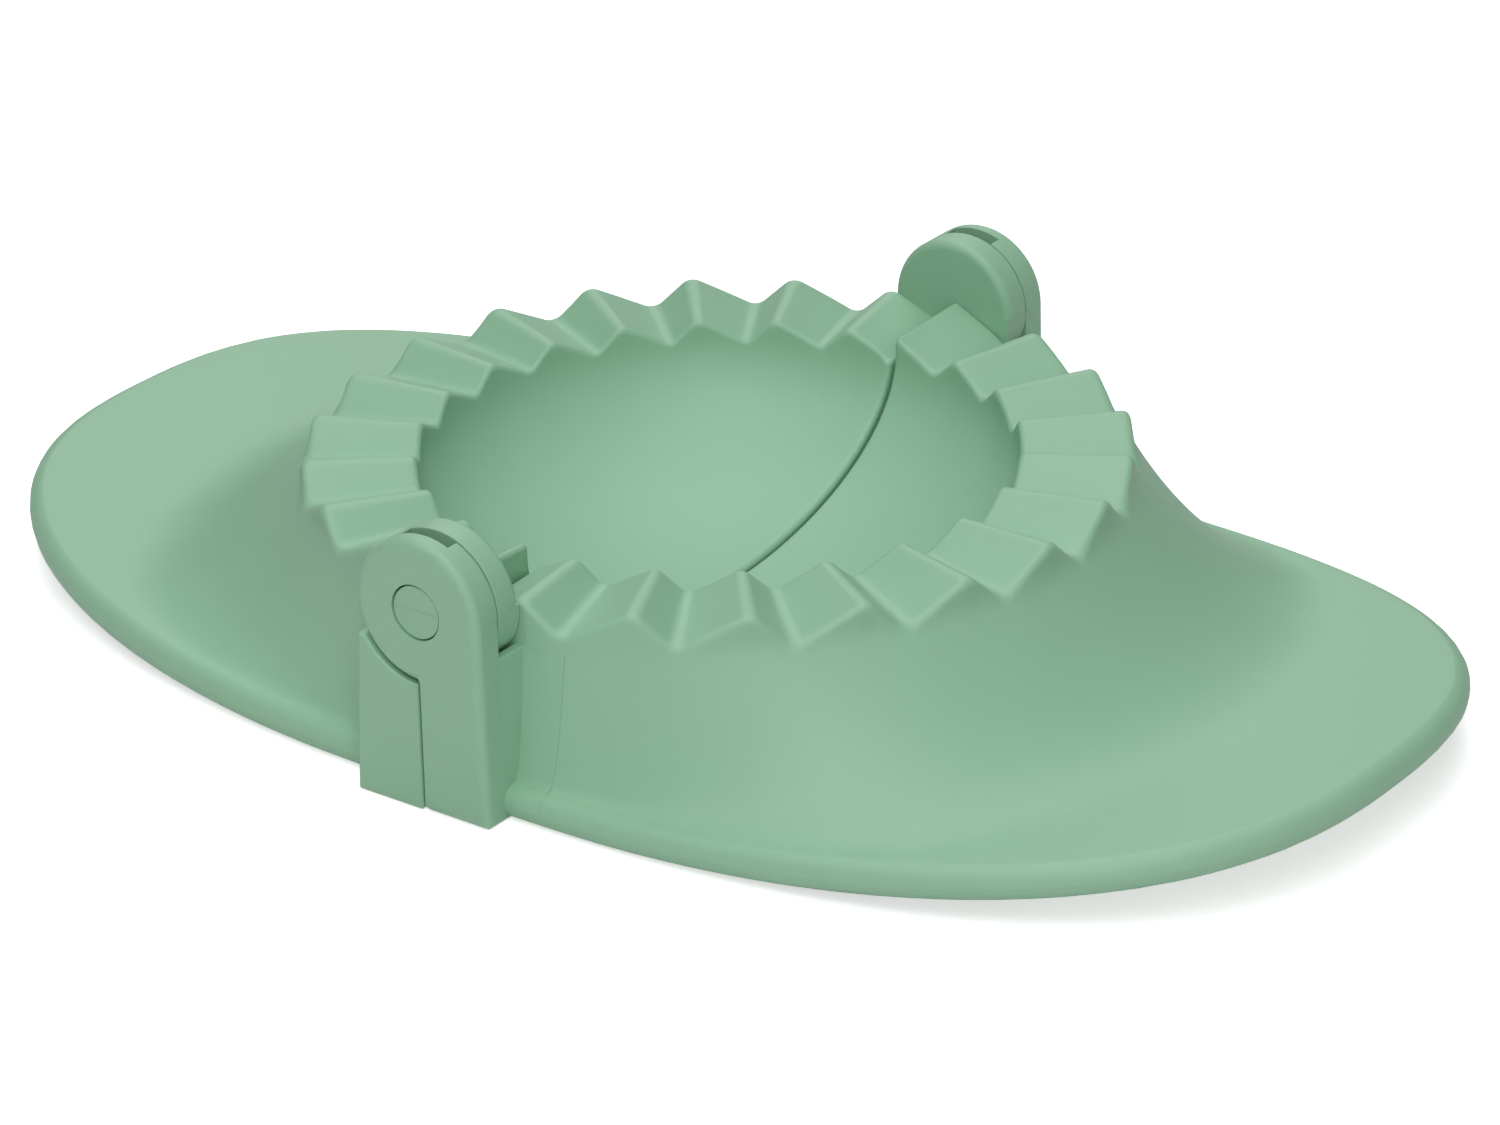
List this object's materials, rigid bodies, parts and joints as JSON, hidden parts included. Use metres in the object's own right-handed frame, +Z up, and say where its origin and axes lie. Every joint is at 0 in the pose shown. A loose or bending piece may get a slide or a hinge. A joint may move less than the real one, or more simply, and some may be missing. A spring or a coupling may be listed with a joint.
{
  "type": "empanada press",
  "caption": "Folding dough press: two moulded halves, each a half bowl with a toothed rim and a broad flat wing, hinged on stub pins in ears at both ends of the bowl",
  "frame": {"origin": "on the table, below the centre of the round bowl, with the press lying open", "axes": "X runs along both wings and ear_half is at +X; Y runs along the hinge line; Z is up"},
  "size_m": [0.1896, 0.1146, 0.034],
  "materials": {
    "moulded_polypropylene": "satin sage green, fine moulded grain"
  },
  "bodies": {
    "ear_half": {"ear_half": "moulded_polypropylene"},
    "pin_half": {"pin_half": "moulded_polypropylene"}
  },
  "joints": [
    {"name": "fold", "type": "hinge", "parent": "ear_half", "child": "pin_half", "pos_m": [0, 0, 0.0252], "axis": [0, 1, 0], "range_deg": [0, 180]}
  ]
}
